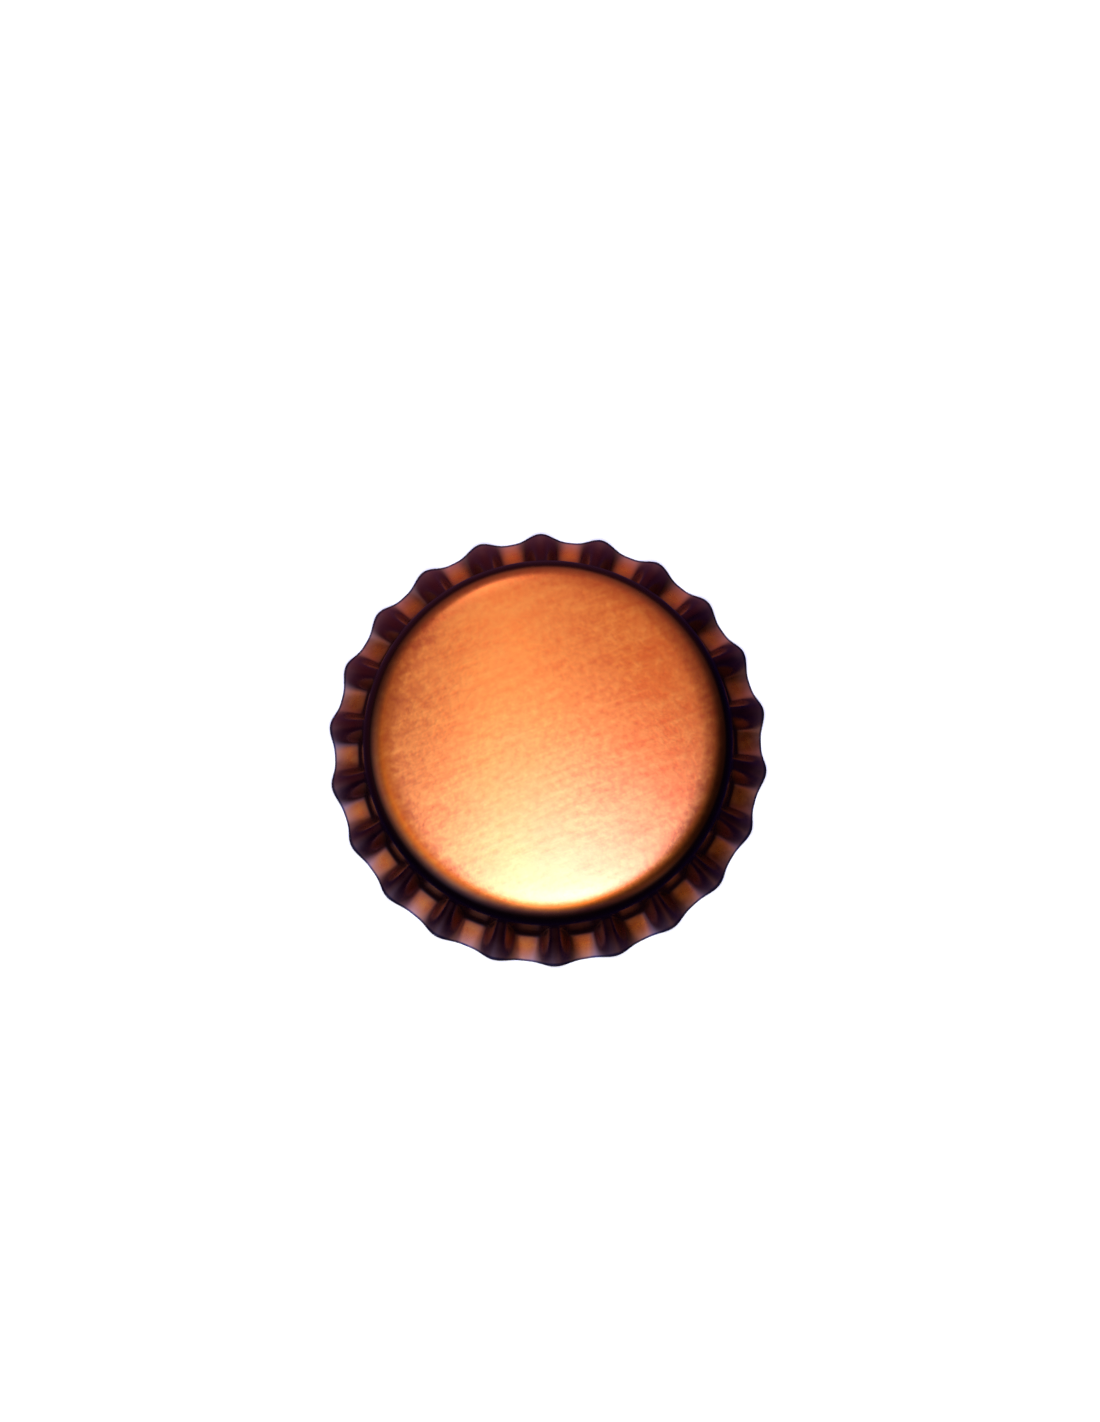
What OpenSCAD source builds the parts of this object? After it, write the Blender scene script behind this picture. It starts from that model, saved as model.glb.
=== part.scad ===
// Fluted metal cap for a glass bottle, as it comes from the press: a round
// blank of lacquered sheet drawn into a domed panel, a rounded shoulder and a
// flared skirt with flutes, and the seal that is moulded inside it.
//
// Millimetres. The cap lies mouth down. Z points up through the panel, and
// the lowest points of the skirt's cut edge stand on Z = 0.

/* [Shell] */
// Overall height, from the cut edge of the skirt to the top of the panel
cap_height = 6.0; // [5:0.1:7.5]
// Outside diameter where the shoulder runs into the skirt
wall_dia = 26.9; // [26:0.1:29]
// Thickness of the sheet metal
sheet = 0.24; // [0.18:0.01:0.32]
// Radius of the shallow dome of the panel
dome_radius = 160; // [100:5:300]
// Outside radius of the shoulder between the panel and the skirt
shoulder_radius = 1.7; // [1.5:0.1:2.6]

/* [Skirt] */
// How far the ridges flare out beyond the wall, on each side
skirt_flare = 2.55; // [1.8:0.05:3.2]
// Number of flutes round the skirt
flutes = 22; // [16:1:26]
// Depth of the flutes below the ridges at the cut edge
flute_depth = 0.45; // [0.2:0.05:0.8]
// Height of the cut edge at the ridges above the cut edge between them
edge_rise = 0.8; // [0.2:0.05:1.4]
// How narrow the ridges are at the cut edge, 1 for a plain wave
ridge_narrowing = 1.5; // [1:0.1:2]
// How narrow the ridges are where they leave the wall
root_narrowing = 2.5; // [1:0.1:2.7]
// Lean of the skirt from upright where it leaves the shoulder, in degrees
wall_lean = 3; // [1:1:12]
// Lean of the flutes' floors from upright at the cut edge, in degrees
flute_lean = 65; // [50:1:70]
// Depth below the shoulder at which the ridges bend outward
ridge_bend = 0.2; // [0.1:0.05:1.5]
// Radius of the bend from the wall to the flare
bend_radius = 0.6; // [0.3:0.1:2]

/* [Liner] */
// How far round the shoulder the seal reaches, in degrees from its top
liner_reach = 53; // [44:1:60]
// Height of the seal's outer edge, where it stands off the shoulder
liner_edge = 0.15; // [0.05:0.05:0.4]
// Thickness of the thin middle of the seal
liner_sheet = 0.25; // [0.15:0.05:0.5]
// Inside diameter of the flat ring that presses on the bottle's rim
land_bore = 18.8; // [16:0.2:22]
// Width of the slope between the flat ring and the thin middle
land_slope = 0.9; // [0.4:0.1:1.6]
// Clearance between the seal and the sheet metal
liner_gap = 0.03; // [0.02:0.01:0.08]

/* [Hidden] */

// Fineness of the sheet metal's surface
flute_steps = 8;      // steps round each flute
panel_steps = 2;      // steps from the middle of the panel to its rim
shoulder_steps = 5;   // steps round the shoulder
skirt_steps = [2, 4, 2]; // steps down the wall, round the bend and down the flare
crowding = 0.4;       // how much the steps gather at the ridges
liner_sides = 120;    // sides of the seal's preview
bend_room = 0.9;      // most of the wall or the flare that the bend may take
probe = 0.001;        // half step by which slopes are taken

// Tilt from the vertical of the outward normal, where each stretch ends
shoulder_tilt = 90 - wall_lean;
// Radius of the ring about which the shoulder turns, and the panel's last tilt
shoulder_ring = wall_dia / 2 - shoulder_radius * sin(shoulder_tilt);
panel_tilt = asin(shoulder_ring / (dome_radius - shoulder_radius));
// Heights of the centres of the dome and of the shoulder's ring
dome_z = cap_height - dome_radius;
shoulder_z = dome_z + (dome_radius - shoulder_radius) * cos(panel_tilt);

// Radius and height of the skirt's outer surface where it leaves the shoulder,
// and at the cut edge on the floor of a flute and on a ridge
skirt_top = [wall_dia / 2, shoulder_z + shoulder_radius * cos(shoulder_tilt)];
flute_edge = [wall_dia / 2 + skirt_flare - flute_depth, sheet * sin(flute_lean)];
ridge_edge = flute_edge + [flute_depth, edge_rise];
// Length of wall above the bend on the floor of a flute
flute_bend = cross(flute_edge - skirt_top, downhill(flute_lean)) / sin(flute_lean - wall_lean);

flute_pitch = 360 / flutes;
round_steps = flutes * flute_steps;
panel_tilts = [for (i = [1 : panel_steps]) panel_tilt * i / panel_steps];
shoulder_tilts = [for (i = [1 : shoulder_steps])
    panel_tilt + (shoulder_tilt - panel_tilt) * i / shoulder_steps];
skirt_ways = [for (stretch = [0 : 2]) for (i = [1 : skirt_steps[stretch]])
    stretch + i / skirt_steps[stretch]];

// ---------- curves of the sheet metal ----------

// Radius and height of the panel and of the shoulder, where the outward
// normal has this tilt, at a depth below the outer surface
function panel_at(tilt, depth) =
    [0, dome_z] + (dome_radius - depth) * [sin(tilt), cos(tilt)];
function shoulder_at(tilt, depth) =
    [shoulder_ring, shoulder_z] + (shoulder_radius - depth) * [sin(tilt), cos(tilt)];

// 1 on a ridge and 0 on the floor of a flute: a wave with narrowed crests
function wave(angle, narrowing) = pow(max(0, 1 + cos(angle * flutes)) / 2, narrowing);

// From 0 to 1 with a level start and end
function eased(share) = share * share * (3 - 2 * share);

// Direction down a surface that leans outward from upright
function downhill(lean) = [sin(lean), -cos(lean)];

// Radius and height of the skirt's outer surface. The way down is 0 at the
// shoulder, 1 and 2 where the bend starts and ends, and 3 at the cut edge.
// The bend is low on the floor of a flute and just below the shoulder on a ridge.
function skirt_at(angle, way) =
    let (
        crest = wave(angle, ridge_narrowing),
        root = eased(wave(angle, root_narrowing)),
        edge = flute_edge + (ridge_edge - flute_edge) * crest,
        wall_length = flute_bend + (ridge_bend - flute_bend) * root,
        corner = skirt_top + wall_length * downhill(wall_lean),
        lean = atan2(edge.x - corner.x, corner.y - edge.y),
        half_turn = (lean - wall_lean) / 2,
        room = bend_room * min(wall_length, norm(edge - corner)),
        tangent = min(bend_radius * tan(half_turn), room),
        radius = tangent / tan(half_turn),
        bend_start = corner - tangent * downhill(wall_lean),
        bend_end = corner + tangent * downhill(lean),
        centre = bend_start + radius * [cos(wall_lean), sin(wall_lean)],
        bend_lean = wall_lean + 2 * half_turn * (way - 1)
    )
    way < 1 ? skirt_top + (bend_start - skirt_top) * way
    : way > 2 ? bend_end + (edge - bend_end) * (way - 2)
    : centre - radius * [cos(bend_lean), sin(bend_lean)];

// ---------- points of the sheet metal ----------

// Point in space of a radius and height, at an angle round the axis
function spun(angle, at) = [at.x * cos(angle), at.x * sin(angle), at.y];

function skirt_point(angle, way) = spun(angle, skirt_at(angle, way));

function skirt_normal(angle, way) =
    let (
        round = skirt_point(angle + probe, way) - skirt_point(angle - probe, way),
        down = skirt_point(angle, way + probe) - skirt_point(angle, way - probe),
        across = cross(down, round)
    )
    across / norm(across);

// Angle of a step round the cap: the steps gather at the ridges
function step_angle(step) =
    flute_pitch * (step / flute_steps - crowding * sin(360 * step / flute_steps) / (2 * PI));

angles = [for (step = [0 : round_steps - 1]) step_angle(step)];

// Rings of points from the middle of the panel to the cut edge, at a depth
// below the outer surface
function rings(depth) = concat(
    [for (tilt = panel_tilts) [for (angle = angles) spun(angle, panel_at(tilt, depth))]],
    [for (tilt = shoulder_tilts) [for (angle = angles) spun(angle, shoulder_at(tilt, depth))]],
    [for (way = skirt_ways) [for (angle = angles)
        skirt_point(angle, way) - depth * skirt_normal(angle, way)]]
);

function reversed(list) = [for (i = [len(list) - 1 : -1 : 0]) list[i]];

// ---------- parts ----------

// Closed skin over a stack of rings, from a first pole to a last one
module ringed_skin(first_pole, stack, last_pole) {
    count = len(stack[0]);
    points = concat([first_pole], [for (ring = stack) each ring], [last_pole]);
    last = len(points) - 1;
    first_cap = [for (i = [0 : count - 1]) [0, 1 + (i + 1) % count, 1 + i]];
    bands = [for (r = [0 : len(stack) - 2]) for (i = [0 : count - 1])
        let (
            here = 1 + r * count,
            a = here + i,
            b = here + (i + 1) % count
        )
        each [[a, b, b + count], [a, b + count, a + count]]];
    last_ring = last - count;
    last_cap = [for (i = [0 : count - 1]) [last, last_ring + i, last_ring + (i + 1) % count]];
    polyhedron(points = points, faces = concat(first_cap, bands, last_cap));
}

// Pressed sheet metal: the outer surface down to the cut edge, and back up
// the inner one
module shell() {
    color("#c87a3c")
        ringed_skin(
            spun(0, panel_at(0, 0)),
            concat(rings(0), reversed(rings(sheet))),
            spun(0, panel_at(0, sheet))
        );
}

// Moulded seal: a thin disc against the panel, and a thick flat ring in the
// corner of the shoulder
module liner() {
    top = sheet + liner_gap;
    middle = top + liner_sheet;
    rim = shoulder_at(liner_reach, top);
    land_z = rim.y - liner_edge;
    inner_tilts = [for (tilt = shoulder_tilts) if (tilt < liner_reach) tilt];
    slope_tilt = asin((land_bore / 2 - land_slope) / (dome_radius - middle));
    profile = concat(
        [panel_at(0, top)],
        [for (tilt = panel_tilts) panel_at(tilt, top)],
        [for (tilt = inner_tilts) shoulder_at(tilt, top)],
        [rim],
        [[rim.x, land_z]],
        [[land_bore / 2, land_z]],
        [for (i = [panel_steps : -1 : 0]) panel_at(slope_tilt * i / panel_steps, middle)]
    );
    color("#e6e4dc")
        rotate_extrude($fn = liner_sides) polygon(profile);
}

shell();
liner();
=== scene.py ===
import math

import bpy
from mathutils import Matrix, Vector


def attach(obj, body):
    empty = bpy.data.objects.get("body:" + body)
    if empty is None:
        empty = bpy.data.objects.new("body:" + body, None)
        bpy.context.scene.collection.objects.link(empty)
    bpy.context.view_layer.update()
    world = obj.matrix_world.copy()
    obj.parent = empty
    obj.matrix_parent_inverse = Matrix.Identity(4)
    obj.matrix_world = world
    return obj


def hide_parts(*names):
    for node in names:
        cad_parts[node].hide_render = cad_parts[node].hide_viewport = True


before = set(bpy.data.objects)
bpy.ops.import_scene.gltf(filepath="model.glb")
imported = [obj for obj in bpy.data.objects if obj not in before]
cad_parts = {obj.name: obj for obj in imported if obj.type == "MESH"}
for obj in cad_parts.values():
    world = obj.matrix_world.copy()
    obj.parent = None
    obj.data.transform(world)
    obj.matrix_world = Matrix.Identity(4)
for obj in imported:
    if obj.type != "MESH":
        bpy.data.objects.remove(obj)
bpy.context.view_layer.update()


scene = bpy.context.scene
millimetre = 0.001


class fieldValue:
    # a number or field in a node tree, so that formulas read like arithmetic

    def __init__(self, tree, socket):
        self.tree = tree
        self.socket = socket

    def math(self, operation, *others):
        node = self.tree.nodes.new("ShaderNodeMath")
        node.operation = operation
        for slot, value in enumerate((self,) + others):
            if isinstance(value, fieldValue):
                self.tree.links.new(value.socket, node.inputs[slot])
            else:
                node.inputs[slot].default_value = value
        return fieldValue(self.tree, node.outputs[0])

    def __add__(self, other):
        return self.math("ADD", other)

    def __sub__(self, other):
        return self.math("SUBTRACT", other)

    def __mul__(self, other):
        return self.math("MULTIPLY", other)

    def __truediv__(self, other):
        return self.math("DIVIDE", other)

    def over(self, number):
        # a plain number divided by this field
        return self.math("POWER", -1.0) * number

    def fromNumber(self, number):
        # a plain number less this field
        return self.math("MULTIPLY", -1.0) + number

    def held(self):
        # kept between 0 and 1
        return self.math("MINIMUM", 1.0).math("MAXIMUM", 0.0)


def addNode(tree, kind, settings=None, **inputs):
    # a node with its settings, and with numbers or links on its named inputs
    node = tree.nodes.new(kind)
    for name, value in (settings or {}).items():
        setattr(node, name, value)
    for name, value in inputs.items():
        wanted = name.replace("_", " ")
        socket = next(s for s in node.inputs if s.name == wanted and s.enabled)
        if isinstance(value, fieldValue):
            value = value.socket
        if isinstance(value, bpy.types.NodeSocket):
            tree.links.new(value, socket)
        else:
            socket.default_value = value
    return node


def outOf(node, name=None):
    if name is None:
        return next(s for s in node.outputs if s.enabled)
    return next(s for s in node.outputs if s.name == name and s.enabled)


def turnedParts(tree, vector, angle):
    # the three parts of a vector that is turned about the upright axis
    turned = addNode(
        tree, "ShaderNodeVectorRotate", {"rotation_type": "Z_AXIS"}, Vector=vector, Angle=angle
    )
    parts = addNode(tree, "ShaderNodeSeparateXYZ", Vector=outOf(turned))
    return [fieldValue(tree, socket) for socket in parts.outputs]


def openTree(name, kind, inputs, outputs):
    # a tree with named sockets: (name, socket type, first value)
    tree = bpy.data.node_groups.new(name, kind)
    for label, socketType, value in inputs:
        socket = tree.interface.new_socket(label, in_out="INPUT", socket_type=socketType)
        if value is not None:
            socket.default_value = value
    for label, socketType in outputs:
        tree.interface.new_socket(label, in_out="OUTPUT", socket_type=socketType)
    return tree, tree.nodes.new("NodeGroupInput"), tree.nodes.new("NodeGroupOutput")


# sizes in millimetres and degrees, as in the part's own source
shellSizes = {
    "Cap height": 6.0,
    "Wall diameter": 26.9,
    "Sheet": 0.24,
    "Dome radius": 160.0,
    "Shoulder radius": 1.7,
    "Skirt flare": 2.55,
    "Flute depth": 0.45,
    "Edge rise": 0.8,
    "Ridge narrowing": 1.5,
    "Root narrowing": 2.5,
    "Wall lean": 3.0,
    "Flute lean": 65.0,
    "Ridge bend": 0.2,
    "Bend radius": 0.6,
    "Bend room": 0.9,       # most of the wall or the flare that the bend may take
    "Easing depth": 0.03,   # how far the panel sinks where it turns into the shoulder
    "Easing place": 0.2,    # how far past the panel's rim it sinks most
    "Easing width": 0.45,
    "Flutes": 22,
    "Steps per flute": 24,
    "Crowding": 0.3,        # how much the steps gather at the ridges
    "Panel rows": 14,
    "Rim gathering": 1.8,   # how much the panel's rows gather at its rim, 1 for even rows
    "Shoulder rows": 14,
    "Wall rows": 8,
    "Bend rows": 10,
    "Flare rows": 12,
    "Weld reach": 0.0005,   # how near two points are when they become one
}
shellAngles = ("Wall lean", "Flute lean")
edgeBreak = {"width": 0.03, "steps": 2, "fromAngle": 60.0}  # how the cut edge is broken


def flutedShellTree(outsideMaterial, insideMaterial, edgeMaterial):
    sockets = [("Geometry", "NodeSocketGeometry", None)]
    for name, value in shellSizes.items():
        whole = isinstance(value, int)
        sockets.append((name, "NodeSocketInt" if whole else "NodeSocketFloat", None))
    tree, start, end = openTree(
        "flutedShell", "GeometryNodeTree", sockets, [("Geometry", "NodeSocketGeometry")]
    )

    def size(name):
        return fieldValue(tree, start.outputs[name])

    def sine(angle):
        return angle.math("SINE")

    def cosine(angle):
        return angle.math("COSINE")

    # one sector, from the floor of a flute over a ridge to the next floor
    pitch = size("Flutes").over(2 * math.pi)
    rowEnds = [size("Panel rows")]
    for name in ("Shoulder rows", "Wall rows", "Bend rows", "Flare rows"):
        rowEnds.append(rowEnds[-1] + size(name))
    sheetOfRows = addNode(
        tree, "GeometryNodeMeshGrid", Size_X=1.0, Size_Y=1.0,
        Vertices_X=size("Steps per flute") + 1, Vertices_Y=rowEnds[-1] + 1,
    )
    place = addNode(tree, "ShaderNodeSeparateXYZ", Vector=outOf(addNode(tree, "GeometryNodeInputPosition")))
    across = fieldValue(tree, place.outputs[0])
    row = (fieldValue(tree, place.outputs[1]) + 0.5) * rowEnds[-1]
    angle = (across - sine(across * (2 * math.pi)) * size("Crowding") / (2 * math.pi)) * pitch

    # 1 on a ridge and 0 on the floor of a flute
    wave = (cosine(angle * size("Flutes")) + 1) / 2
    crest = wave.math("MAXIMUM", 0.0).math("POWER", size("Ridge narrowing"))
    root = wave.math("MAXIMUM", 0.0).math("POWER", size("Root narrowing"))
    root = root * root * (root * -2.0 + 3.0)

    # share of the way along each stretch of the pressing
    shares = [(row / rowEnds[0]).held()]
    for before, after in zip(rowEnds, rowEnds[1:]):
        shares.append(((row - before) / (after - before)).held())
    onPanel, onShoulder, onWall, onBend, onFlare = shares
    # the panel's rows gather at its rim
    onPanel = onPanel.fromNumber(1.0).math("POWER", size("Rim gathering")).fromNumber(1.0)

    # panel and shoulder: tilt is the outward normal's angle from the axis
    wallLean = size("Wall lean")
    shoulderTilt = wallLean.fromNumber(math.pi / 2)
    shoulderRing = size("Wall diameter") / 2 - size("Shoulder radius") * sine(shoulderTilt)
    panelTilt = (shoulderRing / (size("Dome radius") - size("Shoulder radius"))).math("ARCSINE")
    domeCentre = size("Cap height") - size("Dome radius")
    shoulderCentre = domeCentre + (size("Dome radius") - size("Shoulder radius")) * cosine(panelTilt)
    domeAngle = panelTilt * onPanel
    turnAngle = panelTilt + (shoulderTilt - panelTilt) * onShoulder
    radius = (
        size("Dome radius") * sine(domeAngle)
        + size("Shoulder radius") * (sine(turnAngle) - sine(panelTilt))
    )
    height = (
        domeCentre + size("Dome radius") * cosine(domeAngle)
        + size("Shoulder radius") * (cosine(turnAngle) - cosine(panelTilt))
    )
    # the panel turns into the shoulder little by little
    pastRim = (
        (domeAngle - panelTilt) * size("Dome radius")
        + (turnAngle - panelTilt) * size("Shoulder radius")
    )
    fromEasing = (pastRim - size("Easing place")) / size("Easing width")
    height = height - size("Easing depth") * (fromEasing * fromEasing * -1.0).math("EXPONENT")

    # skirt: wall, bend and flare between the shoulder and the cut edge
    topRadius = size("Wall diameter") / 2
    topHeight = shoulderCentre + size("Shoulder radius") * cosine(shoulderTilt)
    floorLean = size("Flute lean")
    floorRadius = topRadius + size("Skirt flare") - size("Flute depth")
    floorHeight = size("Sheet") * sine(floorLean)
    floorBend = (
        (topHeight - floorHeight) * sine(floorLean) - (floorRadius - topRadius) * cosine(floorLean)
    ) / sine(floorLean - wallLean)
    edgeRadius = floorRadius + size("Flute depth") * crest
    edgeHeight = floorHeight + size("Edge rise") * crest
    wallLength = floorBend + (size("Ridge bend") - floorBend) * root
    cornerRadius = topRadius + wallLength * sine(wallLean)
    cornerHeight = topHeight - wallLength * cosine(wallLean)
    outward = edgeRadius - cornerRadius
    downward = cornerHeight - edgeHeight
    lean = outward.math("ARCTAN2", downward)
    flareLength = (outward * outward + downward * downward).math("SQRT")
    halfTurnTangent = ((lean - wallLean) / 2).math("TANGENT")
    tangent = (size("Bend radius") * halfTurnTangent).math(
        "MINIMUM", wallLength.math("MINIMUM", flareLength) * size("Bend room")
    )
    bendRadius = tangent / halfTurnTangent
    bendLean = wallLean + (lean - wallLean) * onBend
    wallRun = (wallLength - tangent) * onWall
    flareRun = (flareLength - tangent) * onFlare
    radius = (
        radius + wallRun * sine(wallLean) + flareRun * sine(lean)
        + bendRadius * (cosine(wallLean) - cosine(bendLean))
    )
    height = (
        height - wallRun * cosine(wallLean) - flareRun * cosine(lean)
        + bendRadius * (sine(wallLean) - sine(bendLean))
    )

    spun = addNode(
        tree, "ShaderNodeCombineXYZ",
        X=radius * cosine(angle) * millimetre, Y=radius * sine(angle) * millimetre, Z=height * millimetre,
    )
    # for the finish: how far over the shoulder, down the skirt and up a ridge each point is
    sector = sheetOfRows
    downSkirt = (onWall + onBend + onFlare) / 3
    for name, value in (("overShoulder", onShoulder), ("downSkirt", downSkirt), ("onRidge", wave)):
        sector = addNode(
            tree, "GeometryNodeStoreNamedAttribute", {"data_type": "FLOAT", "domain": "POINT"},
            Geometry=outOf(sector), Name=name, Value=value,
        )
    sector = addNode(tree, "GeometryNodeSetPosition", Geometry=outOf(sector), Position=outOf(spun))
    sector = addNode(tree, "GeometryNodeFlipFaces", Mesh=outOf(sector))

    # a full turn of sectors, welded along the floors of the flutes and at the middle
    turns = addNode(tree, "GeometryNodePoints", Count=size("Flutes"))
    count = fieldValue(tree, outOf(addNode(tree, "GeometryNodeInputIndex")))
    turned = addNode(tree, "ShaderNodeCombineXYZ", X=0.0, Y=0.0, Z=count * pitch)
    ring = addNode(
        tree, "GeometryNodeInstanceOnPoints",
        Points=outOf(turns), Instance=outOf(sector), Rotation=outOf(turned),
    )
    ring = addNode(tree, "GeometryNodeRealizeInstances", Geometry=outOf(ring))
    weldReach = size("Weld reach") * millimetre
    outside = addNode(tree, "GeometryNodeMergeByDistance", Geometry=outOf(ring), Distance=weldReach)

    # thickness of the sheet: the inner skin, and the cut edge that joins them
    normal = addNode(tree, "GeometryNodeInputNormal")
    inward = addNode(
        tree, "ShaderNodeVectorMath", {"operation": "SCALE"},
        Vector=outOf(normal), Scale=size("Sheet") * -millimetre,
    )
    kept = addNode(tree, "GeometryNodeCaptureAttribute", {"domain": "POINT"})
    kept.capture_items.new("VECTOR", "Inward")
    tree.links.new(outOf(outside), kept.inputs["Geometry"])
    tree.links.new(outOf(inward), kept.inputs["Inward"])
    inside = addNode(
        tree, "GeometryNodeSetPosition", Geometry=kept.outputs["Geometry"], Offset=kept.outputs["Inward"]
    )
    inside = addNode(tree, "GeometryNodeFlipFaces", Mesh=outOf(inside))
    neighbours = addNode(tree, "GeometryNodeInputMeshEdgeNeighbors")
    openEdge = addNode(
        tree, "FunctionNodeCompare", {"data_type": "INT", "operation": "EQUAL"}, A=outOf(neighbours), B=1
    )
    cut = addNode(
        tree, "GeometryNodeExtrudeMesh", {"mode": "EDGES"},
        Mesh=kept.outputs["Geometry"], Selection=outOf(openEdge), Offset=kept.outputs["Inward"],
    )
    cut = addNode(
        tree, "GeometryNodeStoreNamedAttribute", {"data_type": "BOOLEAN", "domain": "FACE"},
        Geometry=outOf(cut, "Mesh"), Name="cutEdge", Value=outOf(cut, "Side"),
    )
    inside = addNode(
        tree, "GeometryNodeStoreNamedAttribute", {"data_type": "BOOLEAN", "domain": "FACE"},
        Geometry=outOf(inside), Name="insideFace", Value=True,
    )
    whole = addNode(tree, "GeometryNodeJoinGeometry")
    tree.links.new(outOf(inside), whole.inputs[0])
    tree.links.new(outOf(cut), whole.inputs[0])
    whole = addNode(tree, "GeometryNodeMergeByDistance", Geometry=outOf(whole), Distance=weldReach)
    whole = addNode(tree, "GeometryNodeSetShadeSmooth", Geometry=outOf(whole), Shade_Smooth=True)
    whole = addNode(tree, "GeometryNodeRealizeInstances", Geometry=outOf(whole))
    whole = addNode(tree, "GeometryNodeSetMaterial", Geometry=outOf(whole), Material=outsideMaterial)
    for name, material in (("insideFace", insideMaterial), ("cutEdge", edgeMaterial)):
        faces = addNode(tree, "GeometryNodeInputNamedAttribute", {"data_type": "BOOLEAN"}, Name=name)
        whole = addNode(
            tree, "GeometryNodeSetMaterial",
            Geometry=outOf(whole), Selection=outOf(faces, "Attribute"), Material=material,
        )
    tree.links.new(outOf(whole), end.inputs[0])
    return tree


def makeShell(outsideMaterial, insideMaterial, edgeMaterial):
    tree = flutedShellTree(outsideMaterial, insideMaterial, edgeMaterial)
    maker = bpy.data.objects.new("shellMaker", bpy.data.meshes.new("shellMaker"))
    scene.collection.objects.link(maker)
    nodes = maker.modifiers.new("flutedShell", "NODES")
    nodes.node_group = tree
    for item in tree.interface.items_tree:
        if item.in_out == "INPUT" and item.name in shellSizes:
            value = shellSizes[item.name]
            if item.name in shellAngles:
                value = math.radians(value)
            nodes[item.identifier] = value
    breaking = maker.modifiers.new("brokenEdge", "BEVEL")
    breaking.width = edgeBreak["width"] * millimetre
    breaking.segments = edgeBreak["steps"]
    breaking.limit_method = "ANGLE"
    breaking.angle_limit = math.radians(edgeBreak["fromAngle"])
    breaking.harden_normals = True
    view = bpy.context.evaluated_depsgraph_get()
    mesh = bpy.data.meshes.new_from_object(maker.evaluated_get(view), depsgraph=view)
    bpy.data.objects.remove(maker)
    mesh.name = "pressedShell"
    shell = bpy.data.objects.new("pressedShell", mesh)
    scene.collection.objects.link(shell)
    return shell


def noiseEffect():
    # soft cloudy mottle, from fine to broad
    tree, start, end = openTree(
        "softMottle", "ShaderNodeTree",
        [("Vector", "NodeSocketVector", None), ("Size", "NodeSocketFloat", 0.001),
         ("Detail", "NodeSocketFloat", 3.0)],
        [("Value", "NodeSocketFloat")],
    )
    scale = fieldValue(tree, start.outputs["Size"]).over(1.0)
    noise = addNode(
        tree, "ShaderNodeTexNoise", Vector=start.outputs["Vector"], Scale=scale,
        Detail=start.outputs["Detail"], Roughness=0.55,
    )
    tree.links.new(noise.outputs[0], end.inputs["Value"])
    return tree


def grainEffect():
    # long fine streaks that the rolling mill leaves in the sheet
    tree, start, end = openTree(
        "rolledGrain", "ShaderNodeTree",
        [("Vector", "NodeSocketVector", None), ("Direction", "NodeSocketFloat", 0.0),
         ("Width", "NodeSocketFloat", 0.0002), ("Length", "NodeSocketFloat", 0.004)],
        [("Value", "NodeSocketFloat")],
    )
    direction, width, length = [
        fieldValue(tree, start.outputs[name]) for name in ("Direction", "Width", "Length")
    ]
    along, aside, upward = turnedParts(tree, start.outputs["Vector"], direction * -1.0)
    stretched = addNode(
        tree, "ShaderNodeCombineXYZ", X=along / length, Y=aside / width, Z=upward / length
    )
    noise = addNode(tree, "ShaderNodeTexNoise", Vector=outOf(stretched), Scale=1.0, Detail=2.0, Roughness=0.6)
    tree.links.new(noise.outputs[0], end.inputs["Value"])
    return tree


softMottle = noiseEffect()
rolledGrain = grainEffect()


def openMaterial(name):
    material = bpy.data.materials.new(name)
    material.use_nodes = True
    tree = material.node_tree
    shader = tree.nodes["Principled BSDF"]
    coordinates = outOf(addNode(tree, "ShaderNodeTexCoord"), "Object")
    return material, tree, shader, coordinates


def effect(tree, group, **inputs):
    node = tree.nodes.new("ShaderNodeGroup")
    node.node_tree = group
    for name, value in inputs.items():
        if isinstance(value, bpy.types.NodeSocket):
            tree.links.new(value, node.inputs[name])
        else:
            node.inputs[name].default_value = value
    return fieldValue(tree, node.outputs[0])


def surfaceShare(tree, name):
    # a value that the shell's own tree stored on its points
    attribute = addNode(tree, "ShaderNodeAttribute", {"attribute_name": name})
    return fieldValue(tree, outOf(attribute, "Fac"))


def varied(pattern, middle, spread):
    # a value that a pattern between 0 and 1 moves up and down about its middle
    return (pattern - 0.5) * spread + middle


def blendColours(tree, share, first, second):
    node = tree.nodes.new("ShaderNodeMix")
    node.data_type = "RGBA"
    tree.links.new(share.socket, node.inputs[0])
    for slot, value in ((6, first), (7, second)):  # the node's two colour sockets
        if isinstance(value, bpy.types.NodeSocket):
            tree.links.new(value, node.inputs[slot])
        else:
            node.inputs[slot].default_value = (*value, 1.0)
    return node.outputs[2]


def bump(tree, shader, height, strength, distance):
    node = addNode(tree, "ShaderNodeBump", Strength=strength, Distance=distance, Height=height)
    tree.links.new(outOf(node), shader.inputs["Normal"])


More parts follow.
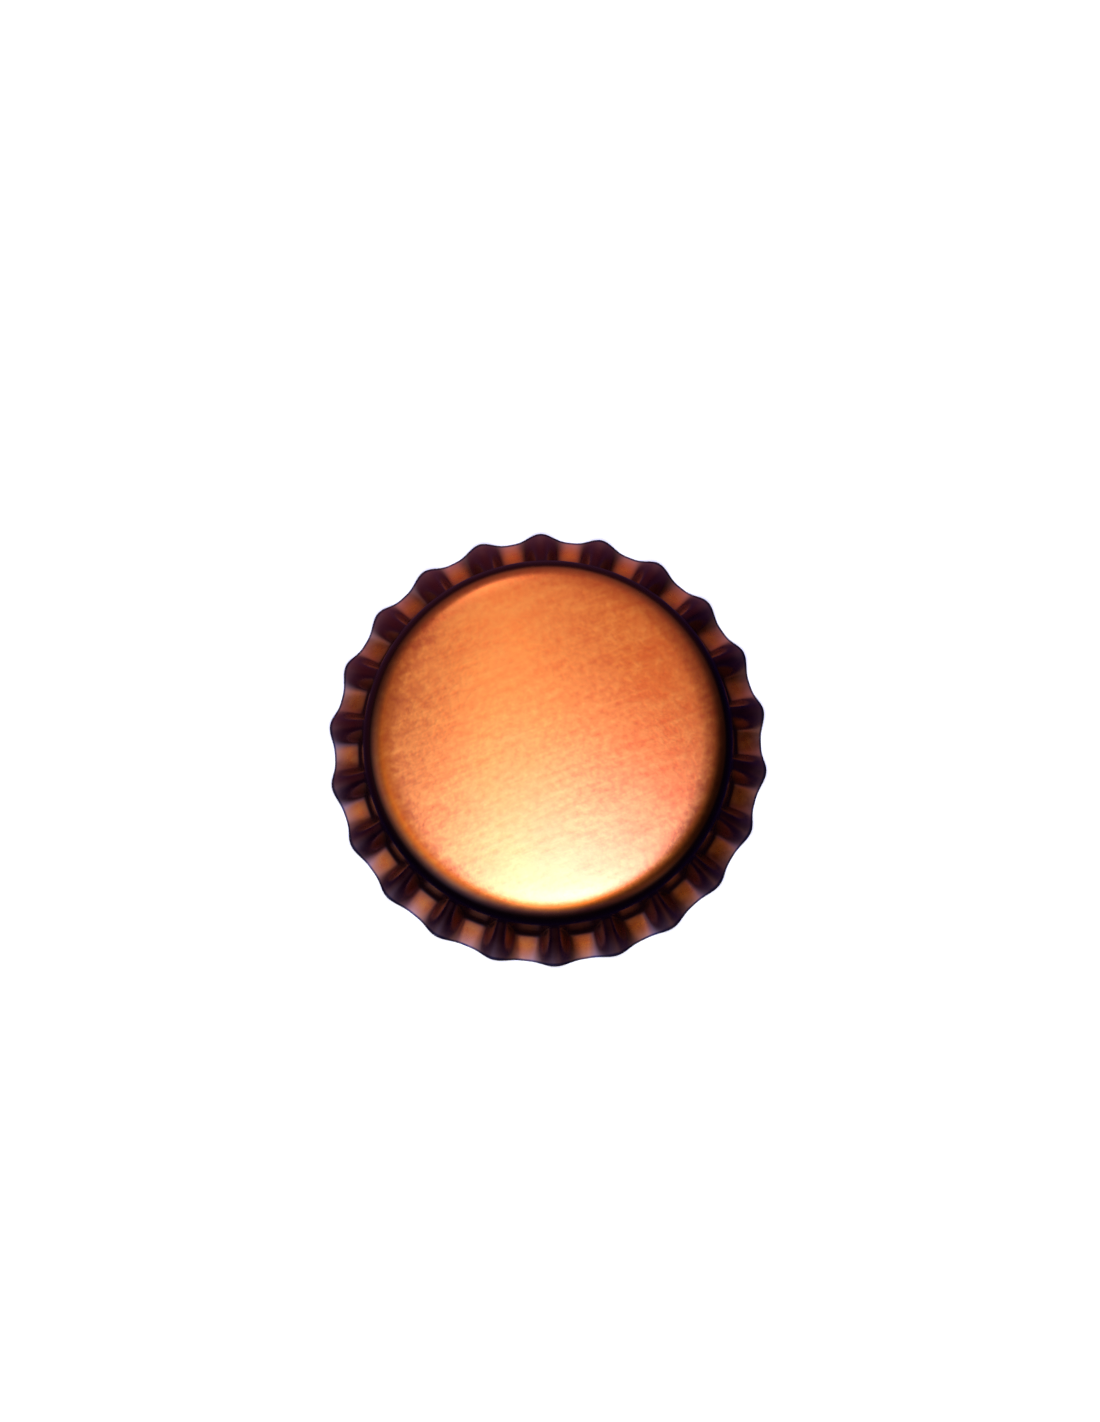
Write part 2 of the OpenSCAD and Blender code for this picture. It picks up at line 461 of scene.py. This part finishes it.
# copper-coloured lacquer on the outside of the sheet, with lengths in metres
lacquer = {
    "copper": (0.97, 0.28, 0.028),
    "deepCopper": (0.86, 0.165, 0.010),
    "contrast": 3.0,           # how sharply the two coppers part
    "mottleSize": 0.0005,
    "mottleDetail": 3.0,
    "mottleShare": 0.6,        # the rest of the pattern is grain
    "blotchSize": 0.0035,
    "blotchDetail": 2.0,
    "blotchShare": 0.3,
    "grainDirection": math.radians(22),
    "grainWidth": 0.0006,
    "grainLength": 0.006,
    # painted shade: dark copper over the shoulder and skirt, near black in the corner under the shoulder
    "paintedShadeCopper": (0.22, 0.045, 0.035),
    "paintedCornerShade": (0.05, 0.012, 0.008),
    "paintedShadeShare": 0.98,
    "paintedShadeStart": 0.08,        # how far over the shoulder the painted shade starts
    "paintedShadeRate": 2.5,
    "flankRate": 2.2,          # how fast the painted shade darkens from the floor of a flute up the ridge
    "flareStart": 0.57,        # how far down the skirt the floors of the flutes are bright again
    "flareRate": 5.0,
    # wear and painted highlight: lighter, pinker copper near the cut edge
    "wearAndHighlightCopper": (0.92, 0.58, 0.50),
    "wearAndHighlightShare": 0.72,
    "wearAndHighlightStart": 0.75,         # how far down the skirt the wear and painted highlight start
    "wearAndHighlightPatches": 0.8,        # how unevenly the wear and painted highlight lie
    # painted shade: a near-black bluish band along the cut edge
    "rimPaintedShade": (0.07, 0.07, 0.15),
    "rimStart": 0.965,
    "rimRate": 60.0,
    "rimShare": 0.9,
    "rimPatches": 0.6,         # how unevenly the painted shade lies
    "roughness": 0.18,
    "roughnessSpread": 0.4,
    "shoulderRoughness": 0.15,  # this and the next four add to the plain roughness
    "skirtRoughness": 0.08,
    "wallRoughness": 0.2,
    "edgeRoughness": 0.10,
    "tipRoughness": 0.15,
    "skirtRate": 20.0,          # how soon the skirt's own roughness takes over from the shoulder's
    "bumpStrength": 0.6,
    "bumpDistance": 0.000012,
    "coat": 0.7,
    "coatRoughness": 0.2,
}


def lacquerMaterial():
    material, tree, shader, here = openMaterial("copperLacquer")
    fine = effect(tree, softMottle, Vector=here, Size=lacquer["mottleSize"], Detail=lacquer["mottleDetail"])
    broad = effect(tree, softMottle, Vector=here, Size=lacquer["blotchSize"], Detail=lacquer["blotchDetail"])
    grain = effect(
        tree, rolledGrain, Vector=here, Direction=lacquer["grainDirection"] + cameraTurn,
        Width=lacquer["grainWidth"], Length=lacquer["grainLength"],
    )
    texture = fine * lacquer["mottleShare"] + grain * (1 - lacquer["mottleShare"])
    overShoulder = surfaceShare(tree, "overShoulder")
    downSkirt = surfaceShare(tree, "downSkirt")
    onRidge = surfaceShare(tree, "onRidge")
    colour = blendColours(
        tree, varied(texture, 0.5, lacquer["contrast"]).held(), lacquer["deepCopper"], lacquer["copper"]
    )
    # painted shade: darker over the shoulder, beside and on the ridges, and most of all down the wall
    onFloor = (onRidge * lacquer["flankRate"]).held().fromNumber(1.0)
    onFlare = ((downSkirt - lacquer["flareStart"]) * lacquer["flareRate"]).held()
    pastShoulder = ((overShoulder - lacquer["paintedShadeStart"]) * lacquer["paintedShadeRate"]).held()
    paintedShade = (onFloor * onFlare).fromNumber(1.0) * pastShoulder * lacquer["paintedShadeShare"]
    # the painted shade is near black in the corner under the shoulder and dark copper on the flare
    paintedShadeColour = blendColours(tree, onFlare, lacquer["paintedCornerShade"], lacquer["paintedShadeCopper"])
    colour = blendColours(tree, paintedShade, colour, paintedShadeColour)
    # rubbed thin along the cut edge, and a painted highlight there: lighter, pinker copper
    nearEdge = ((downSkirt - lacquer["wearAndHighlightStart"]) / (1 - lacquer["wearAndHighlightStart"])).held()
    wearAndHighlight = nearEdge * nearEdge * varied(broad, 1.0, lacquer["wearAndHighlightPatches"]) * lacquer["wearAndHighlightShare"]
    colour = blendColours(tree, wearAndHighlight, colour, lacquer["wearAndHighlightCopper"])
    # painted shade: a narrow near-black bluish rim along the cut edge
    rim = ((downSkirt - lacquer["rimStart"]) * lacquer["rimRate"]).held()
    rim = rim * varied(fine, lacquer["rimShare"], lacquer["rimPatches"]).held()
    colour = blendColours(tree, rim, colour, lacquer["rimPaintedShade"])
    tree.links.new(colour, shader.inputs["Base Color"])
    # duller over the shoulder and down the skirt
    onSkirt = (downSkirt * lacquer["skirtRate"]).held()
    onWall = onSkirt * onFlare.fromNumber(1.0)
    pressed = (
        (overShoulder - onSkirt) * lacquer["shoulderRoughness"] + onSkirt * lacquer["skirtRoughness"]
        + onWall * lacquer["wallRoughness"] + nearEdge * lacquer["edgeRoughness"]
        + nearEdge * onRidge * lacquer["tipRoughness"]
    )
    cloudy = texture * (1 - lacquer["blotchShare"]) + broad * lacquer["blotchShare"]
    rough = varied(cloudy, lacquer["roughness"], lacquer["roughnessSpread"])
    tree.links.new((rough + pressed).socket, shader.inputs["Roughness"])
    shader.inputs["Metallic"].default_value = 1.0
    shader.inputs["Coat Weight"].default_value = lacquer["coat"]
    shader.inputs["Coat Roughness"].default_value = lacquer["coatRoughness"]
    bump(tree, shader, texture, lacquer["bumpStrength"], lacquer["bumpDistance"])
    return material


# clear lacquer on the inside, over bare steel, with lengths in metres
insideLook = {
    "steel": (0.62, 0.56, 0.46),
    "dullSteel": (0.52, 0.46, 0.37),
    "contrast": 2.0,
    "mottleSize": 0.0005,
    "mottleDetail": 3.0,
    "mottleShare": 0.4,
    "grainWidth": 0.00015,
    "grainLength": 0.004,
    "roughness": 0.36,
    "roughnessSpread": 0.2,
    "bumpStrength": 0.5,
    "bumpDistance": 0.00001,
}


def insideMaterial():
    material, tree, shader, here = openMaterial("clearLacquer")
    fine = effect(
        tree, softMottle, Vector=here, Size=insideLook["mottleSize"], Detail=insideLook["mottleDetail"]
    )
    grain = effect(
        tree, rolledGrain, Vector=here, Direction=lacquer["grainDirection"] + cameraTurn,
        Width=insideLook["grainWidth"], Length=insideLook["grainLength"],
    )
    texture = fine * insideLook["mottleShare"] + grain * (1 - insideLook["mottleShare"])
    bright = varied(texture, 0.5, insideLook["contrast"]).held()
    colour = blendColours(tree, bright, insideLook["dullSteel"], insideLook["steel"])
    rough = varied(texture, insideLook["roughness"], insideLook["roughnessSpread"])
    tree.links.new(colour, shader.inputs["Base Color"])
    tree.links.new(rough.socket, shader.inputs["Roughness"])
    shader.inputs["Metallic"].default_value = 1.0
    bump(tree, shader, texture, insideLook["bumpStrength"], insideLook["bumpDistance"])
    return material


# bare metal where the blank was sheared, with lengths in metres
edgeLook = {
    "metal": (0.42, 0.33, 0.27),
    "darkMetal": (0.25, 0.18, 0.14),
    "mottleSize": 0.0001,
    "mottleDetail": 2.0,
    "roughness": 0.42,
    "roughnessSpread": 0.3,
    "bumpStrength": 0.4,
    "bumpDistance": 0.00001,
}


def edgeMaterial():
    material, tree, shader, here = openMaterial("shearedEdge")
    fine = effect(tree, softMottle, Vector=here, Size=edgeLook["mottleSize"], Detail=edgeLook["mottleDetail"])
    colour = blendColours(tree, fine, edgeLook["darkMetal"], edgeLook["metal"])
    rough = varied(fine, edgeLook["roughness"], edgeLook["roughnessSpread"])
    tree.links.new(colour, shader.inputs["Base Color"])
    tree.links.new(rough.socket, shader.inputs["Roughness"])
    shader.inputs["Metallic"].default_value = 1.0
    bump(tree, shader, fine, edgeLook["bumpStrength"], edgeLook["bumpDistance"])
    return material


# the moulded seal, in millimetres and degrees as in the part's own source
sealSizes = {
    "gap": 0.03,         # clearance to the sheet metal
    "reach": 53.0,       # how far round the shoulder it goes, from the top
    "edge": 0.15,        # height of its outer edge
    "sheet": 0.25,       # thickness of its middle
    "landBore": 18.8,    # inside diameter of the flat ring
    "slope": 0.9,        # width of the slope between the ring and the middle
    "corner": 0.12,
    "cornerRoom": 0.45,  # most of a side that one rounded corner may take
    "cornerSteps": 5,
    "panelSteps": 12,
    "shoulderSteps": 10,
    "middleSteps": 6,
    "sides": 264,
}
# its plastic, with lengths in metres
sealLook = {
    "plastic": (0.70, 0.69, 0.63),
    "shadedPlastic": (0.62, 0.61, 0.55),
    "mottleSize": 0.0004,
    "mottleDetail": 4.0,
    "mottleShare": 0.4,
    "cloudSize": 0.006,
    "cloudDetail": 2.0,
    "roughness": 0.45,
    "roughnessSpread": 0.2,
    "softness": 0.15,
    "softDepth": 0.0006,
    "bumpStrength": 0.4,
    "bumpDistance": 0.00002,
}


def sealProfile():
    # radius and height from the middle of the top, over the rim, to the middle below
    wallLean = math.radians(shellSizes["Wall lean"])
    shoulderRadius = shellSizes["Shoulder radius"]
    ringRadius = shellSizes["Wall diameter"] / 2 - shoulderRadius * math.cos(wallLean)
    domeRadius = shellSizes["Dome radius"]
    panelTilt = math.asin(ringRadius / (domeRadius - shoulderRadius))
    domeCentre = shellSizes["Cap height"] - domeRadius
    ringHeight = domeCentre + (domeRadius - shoulderRadius) * math.cos(panelTilt)
    top = shellSizes["Sheet"] + sealSizes["gap"]
    middle = top + sealSizes["sheet"]

    def outward(tilt):
        return Vector((math.sin(tilt), math.cos(tilt)))

    def onPanel(tilt, depth):
        return Vector((0, domeCentre)) + outward(tilt) * (domeRadius - depth)

    def onShoulder(tilt, depth):
        return Vector((ringRadius, ringHeight)) + outward(tilt) * (shoulderRadius - depth)

    def eased(at, pastRim):
        # lowered as the panel is where it turns into the shoulder
        fromEasing = (pastRim - shellSizes["Easing place"]) / shellSizes["Easing width"]
        return at - Vector((0, shellSizes["Easing depth"] * math.exp(-fromEasing ** 2)))

    reach = math.radians(sealSizes["reach"])
    above = []
    for step in range(sealSizes["panelSteps"] + 1):
        toRim = 1 - step / sealSizes["panelSteps"]
        tilt = panelTilt * (1 - toRim ** shellSizes["Rim gathering"])
        above.append(eased(onPanel(tilt, top), (tilt - panelTilt) * domeRadius))
    for step in range(1, sealSizes["shoulderSteps"]):
        turn = (reach - panelTilt) * step / sealSizes["shoulderSteps"]
        above.append(eased(onShoulder(panelTilt + turn, top), turn * shoulderRadius))
    rim = onShoulder(reach, top)
    landHeight = rim.y - sealSizes["edge"]
    slopeTilt = math.asin((sealSizes["landBore"] / 2 - sealSizes["slope"]) / (domeRadius - middle))
    corners = [
        rim,
        Vector((rim.x, landHeight)),
        Vector((sealSizes["landBore"] / 2, landHeight)),
        onPanel(slopeTilt, middle),
    ]
    middleSteps = sealSizes["middleSteps"]
    below = [onPanel(slopeTilt * step / middleSteps, middle) for step in reversed(range(middleSteps))]
    points = [above[-1]] + corners + [below[0]]
    rounded = []
    for before, corner, after in zip(points, points[1:], points[2:]):
        rounded += roundedCorner(before, corner, after)
    return above + rounded + below


def roundedCorner(before, corner, after):
    # points of an arc-like curve that cuts the corner
    back = before - corner
    ahead = after - corner
    cut = min(sealSizes["corner"], min(back.length, ahead.length) * sealSizes["cornerRoom"])
    first = corner + back.normalized() * cut
    last = corner + ahead.normalized() * cut
    steps = sealSizes["cornerSteps"]
    points = []
    for step in range(steps + 1):
        share = step / steps
        points.append(first * (1 - share) ** 2 + corner * 2 * share * (1 - share) + last * share ** 2)
    return points


def turnedMesh(name, profile, sides):
    # closed skin of a profile that starts and ends on the axis
    points = [(0, 0, profile[0].y * millimetre)]
    for at in profile[1:-1]:
        for side in range(sides):
            angle = 2 * math.pi * side / sides
            radius = at.x * millimetre
            points.append((radius * math.cos(angle), radius * math.sin(angle), at.y * millimetre))
    points.append((0, 0, profile[-1].y * millimetre))
    rings = len(profile) - 2
    last = len(points) - 1
    faces = []
    for side in range(sides):
        following = (side + 1) % sides
        faces.append((0, 1 + side, 1 + following))
        for ring in range(rings - 1):
            a = 1 + ring * sides
            b = a + sides
            faces.append((a + side, b + side, b + following, a + following))
        lastRing = 1 + (rings - 1) * sides
        faces.append((lastRing + side, last, lastRing + following))
    mesh = bpy.data.meshes.new(name)
    mesh.from_pydata(points, [], faces)
    mesh.polygons.foreach_set("use_smooth", [True] * len(mesh.polygons))
    mesh.update()
    return mesh


def sealMaterial():
    material, tree, shader, here = openMaterial("sealPlastic")
    fine = effect(tree, softMottle, Vector=here, Size=sealLook["mottleSize"], Detail=sealLook["mottleDetail"])
    cloud = effect(tree, softMottle, Vector=here, Size=sealLook["cloudSize"], Detail=sealLook["cloudDetail"])
    bright = fine * sealLook["mottleShare"] + cloud * (1 - sealLook["mottleShare"])
    colour = blendColours(tree, bright, sealLook["shadedPlastic"], sealLook["plastic"])
    rough = varied(fine, sealLook["roughness"], sealLook["roughnessSpread"])
    tree.links.new(colour, shader.inputs["Base Color"])
    tree.links.new(rough.socket, shader.inputs["Roughness"])
    shader.inputs["Subsurface Weight"].default_value = sealLook["softness"]
    shader.inputs["Subsurface Scale"].default_value = sealLook["softDepth"]
    bump(tree, shader, fine, sealLook["bumpStrength"], sealLook["bumpDistance"])
    return material


def makeSeal():
    mesh = turnedMesh("mouldedSeal", sealProfile(), sealSizes["sides"])
    mesh.materials.append(sealMaterial())
    seal = bpy.data.objects.new("mouldedSeal", mesh)
    scene.collection.objects.link(seal)
    return seal


# camera, floor and light, in metres and degrees
studio = {
    "turn": 6.16,           # how far the camera is turned about the cap's axis
    "tilt": 9.5,            # how far it leans off straight above, towards the front
    "distance": 0.6,
    "aimHeight": 0.003,
    "sensor": 36.0,         # millimetres
    "frameHeight": 0.1033,  # what the long side of the picture spans at the cap
    "pictureHeight": 1422,  # pixels, as are the two shifts
    "shiftRight": 2.0,
    "shiftUp": 33.8,
    "nearClip": 0.01,
    "farClip": 20.0,
    "floorHalf": 2.0,
    "floor": 0.8,
    "floorRoughness": 0.9,
    "floorSpecular": 0.1,
    "floorInGloss": (0.012, 0.004, 0.04),  # what the metal mirrors of the floor
    "floorBehind": (0.12, 0.035, 0.075),   # the same behind the cap and to its left
    "behindSkew": 0.5,
    "behindWidth": 0.025,
    "backdrop": 0.85,
    "glows": [
        # right and back of the zenith, width, length and colour of each soft light
        ("lamp", 0.03, -0.06, 0.10, 0.12, (1.9, 5.7, 31.0)),
        ("lampStreak", -0.04, -0.11, 0.07, 0.36, (2.7, 3.4, 4.0)),
        ("lampSide", 0.10, -0.16, 0.07, 0.33, (2.0, 1.45, 0.0)),
        ("lampSpread", -0.13, -0.26, 0.50, 0.34, (0.75, 0.57, 0.4)),
        ("leftSpread", -0.35, -0.05, 0.19, 0.25, (0.28, 0.24, 0.0)),
        ("frontWindow", -0.45, -0.55, 0.25, 0.25, (0.25, 0.45, 1.2)),
        ("frontGlow", 0.00, -0.76, 0.35, 0.14, (0.12, 0.12, 0.45)),
        ("rightGlow", 0.70, -0.70, 0.28, 0.16, (0.30, 0.20, 0.16)),
        ("leftWindow", -0.78, -0.05, 0.22, 0.30, (0.36, 0.37, 0.62)),
        ("highWindow", -0.13, 0.48, 0.07, 0.12, (1.6, 1.6, 2.7)),
        ("backWall", -0.01, 0.62, 0.60, 0.47, (0.45, 0.28, 0.42)),
        ("farWall", 0.00, 0.92, 0.45, 0.14, (0.14, 0.07, 0.04)),
    ],
    "room": (0.11, 0.075, 0.065),  # dim light from all round, strongest near the horizon
    "roomFall": 3.0,               # how fast it fades with height
    "horizonFade": 0.25,           # height below which all light fades to nothing
    "floorLight": (0.0, -0.2, 0.9, 0.6, 12.0),  # right, back, up, width and power
}
cameraTurn = math.radians(studio["turn"])


def turnedPlace(right, back, up):
    return Matrix.Rotation(cameraTurn, 3, "Z") @ Vector((right, back, up))


def makeCamera():
    tilt = math.radians(studio["tilt"])
    towards = turnedPlace(0, -math.sin(tilt), math.cos(tilt))
    right = turnedPlace(1, 0, 0)
    up = towards.cross(right)
    lens = bpy.data.cameras.new("camera")
    camera = bpy.data.objects.new("camera", lens)
    scene.collection.objects.link(camera)
    camera.location = towards * studio["distance"] + Vector((0, 0, studio["aimHeight"]))
    camera.rotation_euler = Matrix((right, up, towards)).transposed().to_euler()
    lens.sensor_fit = "AUTO"
    lens.sensor_width = studio["sensor"]
    lens.lens = studio["sensor"] * studio["distance"] / studio["frameHeight"]
    lens.shift_x = studio["shiftRight"] / studio["pictureHeight"]
    lens.shift_y = studio["shiftUp"] / studio["pictureHeight"]
    lens.clip_start = studio["nearClip"]
    lens.clip_end = studio["farClip"]
    scene.camera = camera


def makeFloor():
    mesh = bpy.data.meshes.new("floor")
    half = studio["floorHalf"]
    corners = [(-half, -half, 0), (half, -half, 0), (half, half, 0), (-half, half, 0)]
    mesh.from_pydata(corners, [], [(0, 1, 2, 3)])
    floor = bpy.data.objects.new("floor", mesh)
    scene.collection.objects.link(floor)
    material = bpy.data.materials.new("paleFloor")
    material.use_nodes = True
    tree = material.node_tree
    plain = tree.nodes["Principled BSDF"]
    plain.inputs["Base Color"].default_value = (studio["floor"],) * 3 + (1.0,)
    plain.inputs["Roughness"].default_value = studio["floorRoughness"]
    plain.inputs["Specular IOR Level"].default_value = studio["floorSpecular"]
    place = outOf(addNode(tree, "ShaderNodeNewGeometry"), "Position")
    rightward, backward = turnedParts(tree, place, -cameraTurn)[:2]
    behind = ((backward - rightward * studio["behindSkew"]) / studio["behindWidth"]).held()
    inGloss = blendColours(tree, behind, studio["floorInGloss"], studio["floorBehind"])
    dark = addNode(tree, "ShaderNodeEmission", Color=inGloss)
    path = addNode(tree, "ShaderNodeLightPath")
    both = tree.nodes.new("ShaderNodeMixShader")
    tree.links.new(outOf(path, "Is Glossy Ray"), both.inputs[0])
    tree.links.new(plain.outputs[0], both.inputs[1])
    tree.links.new(dark.outputs[0], both.inputs[2])
    tree.links.new(both.outputs[0], tree.nodes["Material Output"].inputs[0])
    mesh.materials.append(material)


def makeLight():
    world = bpy.data.worlds.new("studioSky")
    scene.world = world
    world.use_nodes = True
    tree = world.node_tree
    sky = tree.nodes["Background"]
    direction = outOf(addNode(tree, "ShaderNodeTexCoord"), "Generated")
    rightward, backward, upward = turnedParts(tree, direction, -cameraTurn)
    lowDown = upward.fromNumber(1.0).math("POWER", studio["roomFall"])
    light = addNode(
        tree, "ShaderNodeVectorMath", {"operation": "SCALE"}, Vector=studio["room"], Scale=lowDown
    )
    for name, right, back, width, length, colour in studio["glows"]:
        aside = (rightward - right) / width
        along = (backward - back) / length
        strength = ((aside * aside + along * along) * -1.0).math("EXPONENT")
        glow = addNode(tree, "ShaderNodeVectorMath", {"operation": "SCALE"}, Vector=colour, Scale=strength)
        glow.label = name
        both = addNode(tree, "ShaderNodeVectorMath", {"operation": "ADD"})
        tree.links.new(outOf(light), both.inputs[0])
        tree.links.new(outOf(glow), both.inputs[1])
        light = both
    fade = (upward / studio["horizonFade"]).held()
    light = addNode(tree, "ShaderNodeVectorMath", {"operation": "SCALE"}, Vector=outOf(light), Scale=fade)
    tree.links.new(outOf(light), sky.inputs["Color"])
    # the camera sees a plain pale backdrop beyond the floor
    pale = addNode(tree, "ShaderNodeBackground", Color=(studio["backdrop"],) * 3 + (1.0,))
    path = addNode(tree, "ShaderNodeLightPath")
    both = tree.nodes.new("ShaderNodeMixShader")
    tree.links.new(outOf(path, "Is Camera Ray"), both.inputs[0])
    tree.links.new(sky.outputs[0], both.inputs[1])
    tree.links.new(pale.outputs[0], both.inputs[2])
    tree.links.new(both.outputs[0], tree.nodes["World Output"].inputs[0])
    # lights the floor and the seal, and isn't mirrored in the metal
    right, back, up, width, power = studio["floorLight"]
    light = bpy.data.lights.new("floorLight", "AREA")
    light.size = width
    light.energy = power
    lamp = bpy.data.objects.new("floorLight", light)
    scene.collection.objects.link(lamp)
    lamp.location = turnedPlace(right, back, up)
    lamp.rotation_euler = (-lamp.location).to_track_quat("-Z", "Y").to_euler()
    lamp.visible_glossy = False


print("Pressing the shell")
shell = makeShell(lacquerMaterial(), insideMaterial(), edgeMaterial())
print("Shell triangles:", sum(len(face.vertices) - 2 for face in shell.data.polygons))
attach(shell, "root")
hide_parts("shell")

print("Moulding the seal")
seal = makeSeal()
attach(seal, "root")
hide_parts("liner")

print("Setting up the studio")
makeCamera()
makeFloor()
makeLight()
scene.view_settings.view_transform = "Standard"
